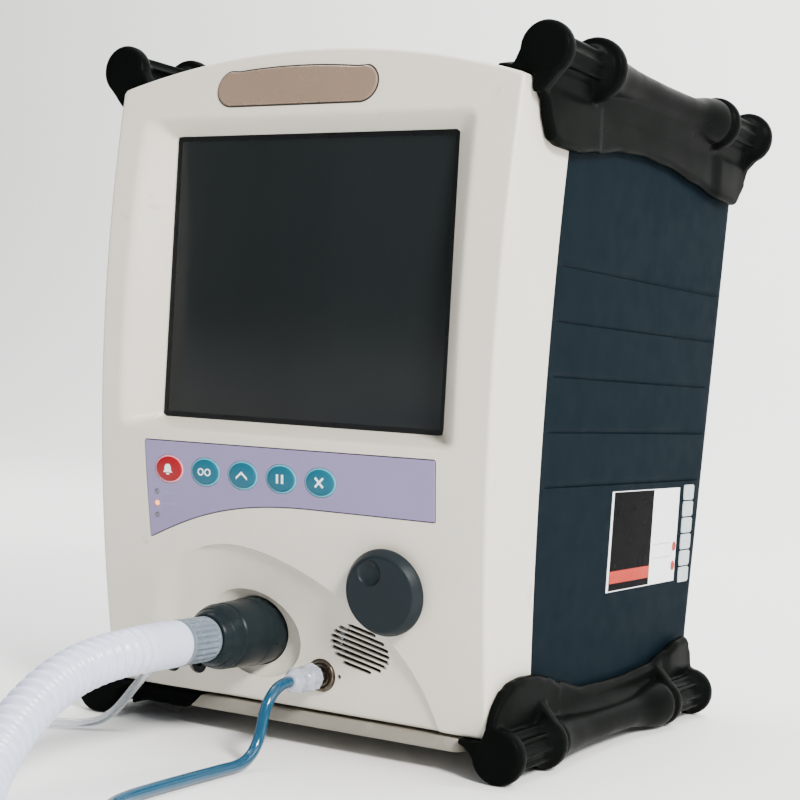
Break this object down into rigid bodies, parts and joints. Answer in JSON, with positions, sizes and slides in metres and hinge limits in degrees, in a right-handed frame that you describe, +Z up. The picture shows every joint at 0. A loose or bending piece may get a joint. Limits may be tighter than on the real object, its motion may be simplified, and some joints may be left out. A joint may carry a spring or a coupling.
{
  "type": "mechanical ventilator",
  "caption": "Portable bedside ventilator with a bowed front panel, recessed touch screen, keypad, control knob, rubber edge bumpers, breathing hose and thin gas lines",
  "frame": {"origin": "on the floor below the middle of the machine without its hose and lines", "axes": "+Z up, front panel towards -Y, +X to the right of somebody facing the front"},
  "size_m": [0.3259, 0.7275, 0.319],
  "materials": {
    "bezel_plastic": "fine satin texture",
    "case_paint": "dark blue fine texture paint",
    "panel_metal": "powder coat",
    "tray_plastic": "satin",
    "rubber": "satin rubber",
    "nameplate_plastic": "satin",
    "label_black": "semi gloss film",
    "label_grey": "film",
    "screen_glass": "dark glossy",
    "module_metal": "plain",
    "overlay_film": "satin film",
    "key_red": "satin",
    "key_teal": "satin",
    "lamp_grey": "clear lens",
    "lamp_orange": "lit lens",
    "board": "solder mask",
    "knob_slate": "soft satin",
    "steel": "brushed",
    "brass": "turned",
    "bronze": "worn plating",
    "black_plastic": "moulded",
    "speaker_paper": "paper",
    "adapter_slate": "satin",
    "duct_grey": "moulded",
    "impeller_white": "moulded",
    "battery_shell": "shrink film",
    "supply_metal": "plain sheet",
    "foam": "open foam",
    "hose_white": "translucent",
    "cuff_grey": "translucent",
    "blue_tube": "translucent",
    "clear_tube": "clear",
    "fitting_clear": "clear"
  },
  "bodies": {
    "machine": {"front_bezel": "bezel_plastic", "rear_enclosure": "case_paint", "back_panel": "panel_metal", "base_tray": "tray_plastic", "bumper_top_left": "rubber", "bumper_top_right": "rubber", "bumper_bottom_left": "rubber", "bumper_bottom_right": "rubber", "nameplate": "nameplate_plastic", "service_label": "label_black", "rating_label": "label_grey", "touch_panel": "screen_glass", "lcd_module": "module_metal", "keypad_overlay": "overlay_film", "mains_lamp": "lamp_grey", "external_supply_lamp": "lamp_orange", "battery_lamp": "lamp_grey", "keypad_board": "board", "encoder_body": "black_plastic", "speaker_frame": "steel", "speaker_cone": "speaker_paper", "port_adapter": "adapter_slate", "outlet_tube": "duct_grey", "nebulizer_port": "bronze", "sensor_ports": "black_plastic", "chassis": "steel", "blower_housing": "black_plastic", "mixing_valve": "supply_metal", "battery_pack": "battery_shell", "power_supply": "supply_metal", "main_board": "board", "fan_frame": "black_plastic", "filter_cover": "black_plastic", "filter_foam": "foam", "mains_inlet": "black_plastic", "power_switch_frame": "black_plastic", "oxygen_inlet": "steel", "data_ports": "module_metal", "hose_cuff": "cuff_grey", "breathing_hose": "hose_white", "breathing_hose_coil": "hose_white", "hose_patient_cuff": "cuff_grey", "control_line_fitting": "fitting_clear", "control_line": "blue_tube", "control_line_coil": "blue_tube", "control_line_end": "fitting_clear", "sensor_line": "clear_tube", "sensor_line_coil": "clear_tube", "sensor_line_end": "fitting_clear"},
    "alarm_silence_key": {"alarm_silence_key": "key_red"},
    "oxygen_key": {"oxygen_key": "key_teal"},
    "manual_breath_key": {"manual_breath_key": "key_teal"},
    "hold_key": {"hold_key": "key_teal"},
    "clear_key": {"clear_key": "key_teal"},
    "knob_plunger": {"encoder_sleeve": "brass"},
    "knob": {"control_knob": "knob_slate", "encoder_shaft": "steel"},
    "rocker": {"power_rocker": "black_plastic"},
    "cooling_fan": {"fan_rotor": "black_plastic"},
    "impeller": {"blower_impeller": "impeller_white"}
  },
  "joints": [
    {"name": "alarm_silence_key_press", "type": "slide", "parent": "machine", "child": "alarm_silence_key", "axis": [0, 1, 0], "range_m": [0, 0.0008], "stiffness_N_per_m": 2000},
    {"name": "oxygen_key_press", "type": "slide", "parent": "machine", "child": "oxygen_key", "axis": [0, 1, 0], "range_m": [0, 0.0008], "stiffness_N_per_m": 2000},
    {"name": "manual_breath_key_press", "type": "slide", "parent": "machine", "child": "manual_breath_key", "axis": [0, 1, 0], "range_m": [0, 0.0008], "stiffness_N_per_m": 2000},
    {"name": "hold_key_press", "type": "slide", "parent": "machine", "child": "hold_key", "axis": [0, 1, 0], "range_m": [0, 0.0008], "stiffness_N_per_m": 2000},
    {"name": "clear_key_press", "type": "slide", "parent": "machine", "child": "clear_key", "axis": [0, 1, 0], "range_m": [0, 0.0008], "stiffness_N_per_m": 2000},
    {"name": "knob_press", "type": "slide", "parent": "machine", "child": "knob_plunger", "axis": [0, 0.9901, 0.1402], "range_m": [0, 0.001], "stiffness_N_per_m": 2000},
    {"name": "knob_turn", "type": "hinge", "parent": "knob_plunger", "child": "knob", "pos_m": [0.0554, -0.12068, 0.076], "axis": [0, -0.9901, -0.1402], "continuous": true},
    {"name": "power_rocker_tilt", "type": "hinge", "parent": "machine", "child": "rocker", "pos_m": [0.062, 0.1185, 0.096], "axis": [-1, 0, 0], "range_deg": [0, 16]},
    {"name": "fan_spin", "type": "hinge", "parent": "machine", "child": "cooling_fan", "pos_m": [0.052, 0.1, 0.21], "axis": [0, 1, 0], "continuous": true},
    {"name": "blower_spin", "type": "hinge", "parent": "machine", "child": "impeller", "pos_m": [-0.0205, 0.012, 0.064], "axis": [0, 1, 0], "continuous": true}
  ]
}
